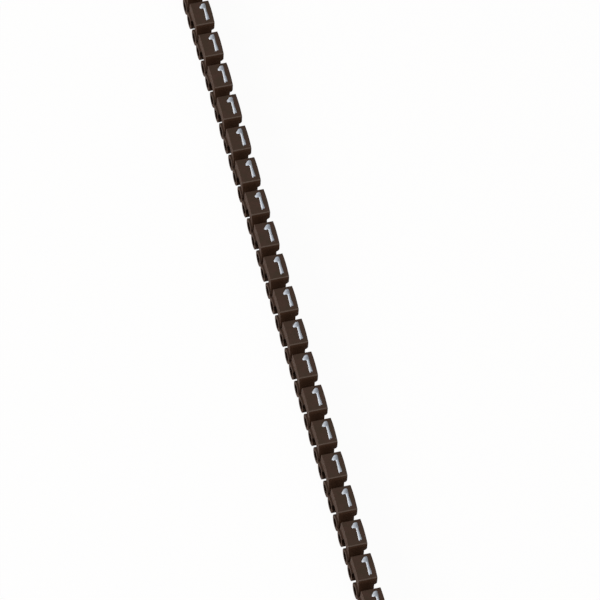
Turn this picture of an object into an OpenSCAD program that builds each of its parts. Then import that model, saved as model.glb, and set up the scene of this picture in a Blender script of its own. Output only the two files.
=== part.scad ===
// Strip of clip-on wire markers, moulded in one piece.
// Each marker has a crowned plate for its digit and a spring clip behind it. The clip's two legs are
// hollow curls that nearly meet at the back, so that a wire snaps in between them to the bore, and a
// web holds the marker to its neighbour until it is broken off.
// X runs along the wire, Y along the strip with the digits' heads at +Y, Z up out of the plates.

/* [Strip] */
// Number of markers on the strip
marker_count = 20; // [2:1:30]
// Distance from one marker to the next
pitch = 4.6; // [4.6:0.1:6]

/* [Plate] */
// Width of the plate, along the wire
plate_w = 2.35; // [1.8:0.05:4]
// Length of the plate, along the strip
plate_l = 3.4; // [3:0.1:4]
// Thickness of the plate at its overhanging end
plate_t = 1.25; // [0.9:0.05:1.6]
// Radius of the crowned face, along the strip
crown_r = 4.5; // [4:0.5:20]
// Radius of the plate's upper and lower edges
edge_r = 0.3; // [0.1:0.05:0.6]

/* [Clip] */
// Depth of a marker, from its crown to the backs of the legs
depth = 4.95; // [4.7:0.05:5.5]
// Diameter of the wire bore
bore_d = 1.3; // [1.2:0.1:1.6]
// Height of the bore's axis over the backs of the legs
bore_z = 2.05; // [1.95:0.05:2.25]
// How far the plate stands over the clip at its right end
overhang = 0.35; // [0.1:0.05:0.4]
// How far the left end of the neck slopes in behind the plate, measured at the legs' middle
set_back = 0.27; // [0.05:0.01:0.35]
// Radius of the round sweep from the plate's right end in to the clip
sweep_r = 0.45; // [0.4:0.05:1]

/* [Legs] */
// Outside diameter of each curled leg
leg_d = 2.05; // [1.95:0.05:2.15]
// Diameter of the hollow inside each curl
curl_d = 1.2; // [0.8:0.05:1.3]
// Angle on the round of a leg at which the marker's flat flank runs into it
flank_a = 25; // [15:5:45]
// Width of the slit between the two legs
slit_w = 0.4; // [0.1:0.05:0.5]

/* [Web] */
// Thickness of the web between two markers
web_t = 0.5; // [0.3:0.05:1]

/* [Hidden] */
$fn = 24;
// Cuts run this far past the faces they open, and joined shapes overlap by it
cut = 0.1;
bore_r = bore_d / 2;
leg_r = leg_d / 2;
leg_y = (slit_w + leg_d) / 2;
crown_z = depth - crown_r;
sweep_z = depth - plate_t;
clip_w = plate_w - overhang;
strip_l = pitch * (marker_count - 1);
// The plate's round edges cross the crown by this much
edge_lift = 0.005;

// Lays a profile drawn in the Y Z plane along the wire, from the plate's left end
module along_wire(length) {
    translate([-plate_w / 2, 0, 0]) rotate([90, 0, 90]) linear_extrude(length) children();
}

// The two round legs seen from the end
module legs_profile(radius) {
    for (s = [-1, 1]) translate([s * leg_y, leg_r]) circle(radius);
}

// Marker seen from its end, still solid: the crowned face runs into round edges, and flat flanks lead
// from these down to the two round legs
module marker_profile() {
    side = plate_l / 2;
    corner_y = side - edge_r;
    corner_z = crown_z + sqrt(pow(crown_r - edge_r + edge_lift, 2) - pow(corner_y, 2));
    run_out_y = corner_y * crown_r / (crown_r - edge_r);
    flank_y = leg_y + leg_r * cos(flank_a);
    flank_z = leg_r + leg_r * sin(flank_a);
    intersection() {
        union() {
            polygon([[-side, corner_z], [-flank_y, flank_z], [0, bore_z], [flank_y, flank_z], [side, corner_z]]);
            translate([-run_out_y, corner_z - edge_r]) square([2 * run_out_y, depth - corner_z + edge_r]);
            for (s = [-1, 1]) translate([s * corner_y, corner_z]) circle(edge_r);
        }
        translate([0, crown_z]) circle(crown_r, $fn = 144);
    }
    legs_profile(leg_r);
}

// Marker seen from below the strip: the plate's right end sweeps in to the narrower clip
module side_profile() {
    right = plate_w / 2;
    translate([-right, 0]) square([clip_w, depth]);
    translate([-right, sweep_z]) square([plate_w, plate_t]);
    intersection() {
        translate([right - sweep_r, sweep_z]) circle(sweep_r, $fn = 36);
        translate([right - overhang - cut, sweep_z - sweep_r]) square([overhang + cut, sweep_r + cut]);
    }
}

// What the neck's sloping left end leaves out, seen from below the strip
module set_back_profile() {
    left = -plate_w / 2;
    top = depth - plate_t / 2;
    polygon([[left - cut, top], [left, top], [left + set_back, leg_r], [left - cut, leg_r]]);
}

// Bore and the hollows of the two curls seen from the end
module opening_profile() {
    translate([0, bore_z]) circle(bore_r);
    legs_profile(curl_d / 2);
}

// Web that reaches from a leg of one clip to the next clip's leg
module web_profile() {
    translate([leg_y, leg_r - cut]) square([pitch - 2 * leg_y, web_t]);
}

// Carries a profile drawn in the X Z plane across one marker
module across_marker() {
    rotate([90, 0, 0]) linear_extrude(pitch + leg_d, center = true) children();
}

// One marker before its bore is cut; the legs stand out past the neck's sloping left end
module marker_blank() {
    difference() {
        intersection() {
            along_wire(plate_w) marker_profile();
            across_marker() side_profile();
        }
        difference() {
            across_marker() set_back_profile();
            translate([-2 * cut, 0, 0]) along_wire(set_back + 4 * cut) legs_profile(leg_r + cut / 2);
        }
    }
}

// Places its children at every marker, or at every gap when one fewer is asked for
module each_marker(count) {
    for (i = [0 : count - 1]) translate([0, i * pitch - strip_l / 2, 0]) children();
}

module marker_strip() {
    color("#3c302a") difference() {
        union() {
            each_marker(marker_count) marker_blank();
            each_marker(marker_count - 1) along_wire(clip_w) web_profile();
        }
        each_marker(marker_count)
            translate([-cut, 0, 0]) along_wire(plate_w + 2 * cut) opening_profile();
    }
}

marker_strip();
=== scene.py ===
"""Looks of the wire marker strip: brown moulded plastic, silvery stamped digits, floor, light and camera."""
import math

import bmesh
import bpy
from mathutils import Matrix, Vector


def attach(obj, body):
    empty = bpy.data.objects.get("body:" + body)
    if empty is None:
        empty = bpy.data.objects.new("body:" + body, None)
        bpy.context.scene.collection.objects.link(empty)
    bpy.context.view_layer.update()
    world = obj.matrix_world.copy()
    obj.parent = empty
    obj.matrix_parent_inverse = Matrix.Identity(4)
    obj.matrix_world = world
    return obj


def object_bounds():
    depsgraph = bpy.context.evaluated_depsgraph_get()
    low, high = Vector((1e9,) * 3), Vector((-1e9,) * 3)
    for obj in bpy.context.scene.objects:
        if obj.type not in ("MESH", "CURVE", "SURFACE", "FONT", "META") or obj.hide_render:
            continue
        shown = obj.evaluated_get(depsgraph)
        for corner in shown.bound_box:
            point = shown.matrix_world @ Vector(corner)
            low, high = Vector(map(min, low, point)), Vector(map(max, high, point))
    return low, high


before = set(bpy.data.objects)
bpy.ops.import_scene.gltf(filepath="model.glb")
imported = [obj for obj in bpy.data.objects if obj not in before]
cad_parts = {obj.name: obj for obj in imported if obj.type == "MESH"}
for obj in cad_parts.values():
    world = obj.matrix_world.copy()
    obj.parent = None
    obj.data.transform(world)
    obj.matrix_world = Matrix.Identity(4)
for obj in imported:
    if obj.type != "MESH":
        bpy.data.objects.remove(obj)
cad_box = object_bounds()

# Sizes of the strip, in metres
MM = 0.001
COUNT = 20
PITCH = 4.6 * MM
PLATE_L = 3.4 * MM
CROWN_R = 4.5 * MM
BORE_R = 0.65 * MM
BORE_Z = 2.05 * MM
LEG_D = 2.05 * MM
CURL_R = 0.6 * MM
SLIT_W = 0.4 * MM

# Places that follow from these sizes and from the frame
PLATE_W = cad_box[1][0] - cad_box[0][0]
FACE_Z = cad_box[1][2]
LEG_Y = (SLIT_W + LEG_D) / 2
LEG_Z = LEG_D / 2
HEAD_Y = PITCH * (COUNT - 1) / 2

# Above this height only plates are found
PLATES_FROM_Z = 3.5 * MM
# Slope at the middle of the plate's round lower edge
EDGE_SLOPE = math.radians(42)
# The painted shade of a hollow reaches this far past its wall
PAINTED_SHADE_MARGIN = 0.004 * MM
# Rounding that the shading gives to sharp edges
SOFT_EDGE_R = 0.07 * MM
GRAIN_DEPTH = 0.03 * MM


def new_material(name):
    material = bpy.data.materials.new(name)
    material.use_nodes = True
    tree = material.node_tree
    return material, tree, tree.nodes["Principled BSDF"]


def add_node(tree, kind, **values):
    node = tree.nodes.new(kind)
    for key, value in values.items():
        setattr(node, key, value)
    return node


def set_inputs(node, values):
    for key, value in values.items():
        node.inputs[key].default_value = value


def add_ramp(tree, source, stops):
    """Colour that follows a value, from (value, colour) pairs."""
    ramp = add_node(tree, "ShaderNodeValToRGB")
    elements = ramp.color_ramp.elements
    while len(elements) < len(stops):
        elements.new(0.5)
    for element, (position, colour) in zip(elements, stops):
        element.position = position
        element.color = (*colour, 1)
    tree.links.new(source, ramp.inputs["Fac"])
    return ramp.outputs["Color"]


def add_math(tree, operation, *values):
    """Math node whose inputs are sockets or plain numbers."""
    node = add_node(tree, "ShaderNodeMath", operation=operation)
    for socket, value in zip(node.inputs, values):
        if isinstance(value, float):
            socket.default_value = value
        else:
            tree.links.new(value, socket)
    return node.outputs["Value"]


def add_mix(tree, factor, first, second):
    """Blend from a colour socket to a plain colour."""
    mix = add_node(tree, "ShaderNodeMix", data_type="RGBA")
    mix.inputs["B"].default_value = (*second, 1)
    tree.links.new(factor, mix.inputs["Factor"])
    tree.links.new(first, mix.inputs["A"])
    return mix.outputs["Result"]


def add_noise(tree, place, scale, detail, roughness):
    noise = add_node(tree, "ShaderNodeTexNoise")
    set_inputs(noise, {"Scale": scale, "Detail": detail, "Roughness": roughness})
    tree.links.new(place, noise.inputs["Vector"])
    return noise.outputs["Fac"]


def add_axes(tree, vector):
    axes = add_node(tree, "ShaderNodeSeparateXYZ")
    tree.links.new(vector, axes.inputs["Vector"])
    return axes.outputs["Y"], axes.outputs["Z"]


def add_shader_mix(tree, factor, first, second, output):
    """Blend of two shaders that goes to the output node."""
    mix = add_node(tree, "ShaderNodeMixShader")
    tree.links.new(factor, mix.inputs["Fac"])
    tree.links.new(first, mix.inputs[1])
    tree.links.new(second, mix.inputs[2])
    tree.links.new(mix.outputs["Shader"], tree.nodes[output].inputs["Surface"])


def painted_shade_in_hollows(tree, place):
    """Mask of the painted shade: one inside the bores and the curled legs, nought elsewhere."""
    y, z = add_axes(tree, place)
    cell = add_math(tree, "FRACT", add_math(tree, "DIVIDE", y, PITCH))
    from_middle = add_math(tree, "MULTIPLY", add_math(tree, "SUBTRACT", cell, 0.5), PITCH)
    across = add_math(tree, "ABSOLUTE", from_middle)

    def inside(axis_y, axis_z, radius):
        dy = add_math(tree, "SUBTRACT", across, axis_y)
        dz = add_math(tree, "SUBTRACT", z, axis_z)
        dy_squared = add_math(tree, "MULTIPLY", dy, dy)
        dz_squared = add_math(tree, "MULTIPLY", dz, dz)
        squared = add_math(tree, "ADD", dy_squared, dz_squared)
        return add_math(tree, "LESS_THAN", squared, (radius + PAINTED_SHADE_MARGIN) ** 2)

    return add_math(tree, "MAXIMUM", inside(0.0, BORE_Z, BORE_R), inside(LEG_Y, LEG_Z, CURL_R))


def painted_highlight_on_lower_edge(tree, place, normal):
    """Strength of the painted highlight along the plate's round lower edge."""
    normal_y, normal_z = add_axes(tree, normal)
    height = add_axes(tree, place)[1]
    forward = add_math(tree, "MULTIPLY", normal_y, -math.sin(EDGE_SLOPE))
    upward = add_math(tree, "MULTIPLY", normal_z, math.cos(EDGE_SLOPE))
    turned = add_math(tree, "ADD", forward, upward)
    band = add_ramp(tree, turned, [(0.925, (0, 0, 0)), (0.985, (1, 1, 1))])
    return add_math(tree, "MULTIPLY", band, add_math(tree, "GREATER_THAN", height, PLATES_FROM_Z))


def painted_shade_on_steep_sides(tree, normal):
    """Strength of the painted shade tint on the sides, which stand steeply."""
    steepness = add_math(tree, "ABSOLUTE", add_axes(tree, normal)[1])
    return add_ramp(tree, steepness, [(0.30, (1, 1, 1)), (0.60, (0, 0, 0))])


def brown_plastic():
    """Dark brown moulded nylon: faint mottling, a fine matt grain, a painted shade tint on the steep sides,
    a painted highlight on the lower edges and painted shade in the hollows.
    """
    mottle_olive = (0.044, 0.0318, 0.0228)
    mottle_red = (0.055, 0.0332, 0.0262)
    # Redder brown painted as the shade tint of the steep sides in the gaps
    side_painted_shade = (0.055, 0.0290, 0.0178)
    # Lighter brown painted as a highlight on the plate's round lower edge
    edge_painted_highlight = (0.105, 0.080, 0.066)
    # Near-black brown, painted shade inside the bores and curled legs
    hollow_painted_shade = (0.012, 0.0065, 0.004)

    material, tree, shader = new_material("brown_nylon")
    place = add_node(tree, "ShaderNodeTexCoord").outputs["Object"]
    normal = add_node(tree, "ShaderNodeNewGeometry").outputs["Normal"]

    mottling = add_noise(tree, place, scale=1300.0, detail=4.0, roughness=0.6)
    colour = add_ramp(tree, mottling, [(0.32, mottle_olive), (0.68, mottle_red)])
    # Painted shade: redder brown on the steep sides
    colour = add_mix(tree, painted_shade_on_steep_sides(tree, normal), colour, side_painted_shade)
    # Painted highlight along the plate's round lower edge
    colour = add_mix(tree, painted_highlight_on_lower_edge(tree, place, normal), colour, edge_painted_highlight)
    # Painted shade: near-black brown inside the bores and the curled legs
    colour = add_mix(tree, painted_shade_in_hollows(tree, place), colour, hollow_painted_shade)
    tree.links.new(colour, shader.inputs["Base Color"])

    grain = add_noise(tree, place, scale=9000.0, detail=3.0, roughness=0.55)
    roughness = add_ramp(tree, grain, [(0.3, (0.40, 0.40, 0.40)), (0.7, (0.56, 0.56, 0.56))])
    tree.links.new(roughness, shader.inputs["Roughness"])
    soft = add_node(tree, "ShaderNodeBevel", samples=6)
    set_inputs(soft, {"Radius": SOFT_EDGE_R})
    bump = add_node(tree, "ShaderNodeBump")
    set_inputs(bump, {"Strength": 0.25, "Distance": GRAIN_DEPTH})
    tree.links.new(soft.outputs["Normal"], bump.inputs["Normal"])
    tree.links.new(grain, bump.inputs["Height"])
    tree.links.new(bump.outputs["Normal"], shader.inputs["Normal"])
    set_inputs(shader, {"IOR": 1.5, "Specular IOR Level": 0.03})
    return material


def white_print():
    """Silvery foil with painted light: a painted highlight on the stroke's left rims, cooler in the middle,
    painted shade on its right rims.
    """
    # Grey painted as shade on the right rims, white painted as a highlight on the left rims
    painted_shade_grey = (0.29, 0.34, 0.41)
    middle_blue = (0.39, 0.46, 0.55)
    painted_highlight_white = (0.60, 0.65, 0.71)

    material, tree, shader = new_material("white_foil")
    rim = add_node(tree, "ShaderNodeAttribute", attribute_name="rim").outputs["Fac"]
    place = add_node(tree, "ShaderNodeTexCoord").outputs["Object"]
    wear = add_noise(tree, place, scale=2600.0, detail=3.0, roughness=0.6)
    worn = add_math(tree, "MULTIPLY", wear, 0.2)
    # Wear noise plus the painted light of the rims: painted highlight on the left, painted shade on the
    # right
    shade = add_math(tree, "ADD", worn, add_math(tree, "MULTIPLY_ADD", rim, 0.4, 0.4))
    colour = add_ramp(tree, shade, [(0.10, painted_shade_grey), (0.50, middle_blue), (0.90, painted_highlight_white)])
    tree.links.new(colour, shader.inputs["Base Color"])
    set_inputs(shader, {"Roughness": 0.42, "IOR": 1.5})
    return material


# Outline of the digit, in millimetres right of and below the plate's upper left corner
DIGIT = [
    (1.40, 0.48), (1.71, 0.45), (1.83, 0.56), (1.70, 1.70), (1.82, 2.70), (1.79, 2.82), (1.70, 2.85),
    (1.60, 2.78), (1.53, 2.92), (1.42, 2.94), (1.37, 2.80), (1.43, 1.80), (1.44, 1.20), (1.21, 1.22),
    (1.04, 1.21), (0.98, 1.09), (1.04, 0.89), (1.22, 0.73),
]
# Height of the print over the face
DIGIT_RISE = 0.004 * MM
# Width of the sloping rim along the stroke and the slope at its outer edge
RIM = 0.12 * MM
RIM_SLOPE = math.radians(38)
# Cuts across the digit that let it follow the crown
STRIPES = 14


def rounded(points, passes=2):
    """Cuts the corners of a closed outline, a quarter of the way along each side."""
    for _ in range(passes):
        cut = []
        for (ax, ay), (bx, by) in zip(points, points[1:] + points[:1]):
            cut.append((0.75 * ax + 0.25 * bx, 0.75 * ay + 0.25 * by))
            cut.append((0.25 * ax + 0.75 * bx, 0.25 * ay + 0.75 * by))
        points = cut
    return points


def crown_z(y):
    """Height of the crowned face, y from the middle of the plate."""
    return FACE_Z - CROWN_R + math.sqrt(CROWN_R ** 2 - y ** 2)


def lay_digit(bm):
    """Digit with its rim, cut into stripes and laid on the crown."""
    outline = rounded(DIGIT)
    corners = [bm.verts.new((x * MM - PLATE_W / 2, PLATE_L / 2 - y * MM, 0)) for x, y in outline]
    face = bm.faces.new(corners)
    if face.normal.z < 0:
        face.normal_flip()
    bmesh.ops.inset_region(bm, faces=[face], thickness=RIM, use_even_offset=True)
    low = min(v.co.y for v in bm.verts)
    high = max(v.co.y for v in bm.verts)
    for i in range(1, STRIPES):
        level = (0, low + (high - low) * i / STRIPES, 0)
        geometry = bm.verts[:] + bm.edges[:] + bm.faces[:]
        bmesh.ops.bisect_plane(bm, geom=geometry, dist=1e-9, plane_co=level, plane_no=(0, 1, 0))
    bmesh.ops.triangulate(bm, faces=bm.faces[:])
    for vert in bm.verts:
        vert.co.z = crown_z(vert.co.y) + DIGIT_RISE
    bmesh.ops.recalc_face_normals(bm, faces=bm.faces[:])
    if sum(f.normal.z for f in bm.faces) < 0:
        bmesh.ops.reverse_faces(bm, faces=bm.faces[:])


def outward_directions(bm):
    """Direction out of the digit at each vertex of its outline, nought inside it."""
    outward = {vert: Vector() for vert in bm.verts}
    for edge in bm.edges:
        if edge.is_boundary:
            ends = edge.verts
            away = (ends[1].co - ends[0].co).cross(Vector((0, 0, 1)))
            middle = (ends[0].co + ends[1].co) / 2
            if away.dot(middle - edge.link_faces[0].calc_center_median()) < 0:
                away.negate()
            for vert in ends:
                outward[vert] += away
    return {vert: direction.normalized() for vert, direction in outward.items()}


def digit_mesh():
    """Digit of the plate at the origin, with the normals of a pressed print."""
    bm = bmesh.new()
    lit_side_layer = bm.verts.layers.float.new("rim")
    lay_digit(bm)
    normals = []
    for vert, side in outward_directions(bm).items():
        # Which way the rim faces, for the painted highlight on the left rims and the painted shade on the
        # right rims
        vert[lit_side_layer] = -side.x
        up = Vector((0, vert.co.y, vert.co.z - FACE_Z + CROWN_R)).normalized()
        sloping = up * math.cos(RIM_SLOPE) + side * math.sin(RIM_SLOPE)
        normals.append(sloping if vert.is_boundary else up)
    mesh = bpy.data.meshes.new("digit")
    bm.to_mesh(mesh)
    bm.free()
    for polygon in mesh.polygons:
        polygon.use_smooth = True
    mesh.normals_split_custom_set_from_vertices(normals)
    return mesh


def add_digits(material):
    base = digit_mesh()
    base.materials.append(material)
    for i in range(COUNT):
        mesh = base.copy()
        mesh.transform(Matrix.Translation((0, HEAD_Y - i * PITCH, 0)))
        digit = bpy.data.objects.new(f"digit_{i + 1:02d}", mesh)
        bpy.context.scene.collection.objects.link(digit)
        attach(digit, "root")


def dress_strip(material):
    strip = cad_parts["marker_strip"]
    strip.data.materials.clear()
    strip.data.materials.append(material)


# Camera: where it stands from the strip, its roll about the line of sight and its lens
AIM = Vector((1.571, -2.936, 4.95)) * MM
TO_CAMERA = Vector((-0.1842, -0.43656, 0.88061))
CAMERA_RIGHT = Vector((0.9643, -0.2537, 0.07593))
DISTANCE = 659.95 * MM
SENSOR = 36.0
FOCAL_PIXELS = 5432.5
FRAME_PIXELS = 600.0


def add_camera():
    camera = bpy.data.cameras.new("camera")
    camera.sensor_width = SENSOR
    camera.lens = SENSOR * FOCAL_PIXELS / FRAME_PIXELS
    camera.clip_start = 0.01
    camera.clip_end = 20.0
    holder = bpy.data.objects.new("camera", camera)
    bpy.context.scene.collection.objects.link(holder)
    back = TO_CAMERA.normalized()
    right = (CAMERA_RIGHT - back * CAMERA_RIGHT.dot(back)).normalized()
    turn = Matrix((right, back.cross(right), back)).transposed()
    holder.matrix_world = Matrix.Translation(AIM + back * DISTANCE) @ turn.to_4x4()
    bpy.context.scene.camera = holder


WHITE = (1, 1, 1, 1)
FLOOR_GREY = (0.8, 0.8, 0.8, 1)
# Half the floor's width, and how much of its look to the camera is plain white
FLOOR_HALF = 0.6
FLOOR_WHITE = 0.95


def floor_material():
    """Pale floor that is white to the camera but keeps a faint shadow of the strip."""
    material, tree, shader = new_material("floor_white")
    set_inputs(shader, {"Base Color": FLOOR_GREY, "Roughness": 0.9, "Specular IOR Level": 0.1})
    glow = add_node(tree, "ShaderNodeEmission")
    set_inputs(glow, {"Color": WHITE, "Strength": 1.0})
    seen = add_node(tree, "ShaderNodeLightPath").outputs["Is Camera Ray"]
    share = add_math(tree, "MULTIPLY", seen, FLOOR_WHITE)
    add_shader_mix(tree, share, shader.outputs["BSDF"], glow.outputs["Emission"], "Material Output")
    return material


def add_floor():
    bm = bmesh.new()
    corners = ((-1, -1), (1, -1), (1, 1), (-1, 1))
    bm.faces.new([bm.verts.new((x * FLOOR_HALF, y * FLOOR_HALF, 0)) for x, y in corners])
    mesh = bpy.data.meshes.new("floor")
    bm.to_mesh(mesh)
    bm.free()
    floor = bpy.data.objects.new("floor", mesh)
    bpy.context.scene.collection.objects.link(floor)
    mesh.materials.append(floor_material())


# Soft lamps: name, place, diameter in metres and power in watts
LAMPS = [
    ("key", (-0.54, 0.25, 0.37), 0.40, 3.8),
    ("overhead", (0.0, -0.26, 0.65), 0.30, 1.5),
    ("front", (0.0, -0.66, 0.24), 0.30, 1.0),
]
# Light from all around, a little warm
AMBIENT = (1.0, 0.80, 0.64, 1)
AMBIENT_STRENGTH = 0.30


def add_lamp(name, place, size, power):
    lamp = bpy.data.lights.new(name, "AREA")
    lamp.shape = "DISK"
    lamp.size = size
    lamp.energy = power
    holder = bpy.data.objects.new(name, lamp)
    holder.location = Vector(place)
    holder.rotation_mode = "QUATERNION"
    holder.rotation_quaternion = Vector(place).to_track_quat("Z", "Y")
    bpy.context.scene.collection.objects.link(holder)


def add_world():
    """Warm light from all around, seen as plain white by the camera."""
    world = bpy.data.worlds.new("studio")
    bpy.context.scene.world = world
    world.use_nodes = True
    tree = world.node_tree
    ambient = tree.nodes["Background"]
    set_inputs(ambient, {"Color": AMBIENT, "Strength": AMBIENT_STRENGTH})
    backdrop = add_node(tree, "ShaderNodeBackground")
    set_inputs(backdrop, {"Color": WHITE, "Strength": 1.0})
    seen = add_node(tree, "ShaderNodeLightPath").outputs["Is Camera Ray"]
    add_shader_mix(tree, seen, ambient.outputs["Background"], backdrop.outputs["Background"], "World Output")


dress_strip(brown_plastic())
add_digits(white_print())
add_floor()
add_world()
for lamp_values in LAMPS:
    add_lamp(*lamp_values)
add_camera()
bpy.context.scene.view_settings.view_transform = "Standard"
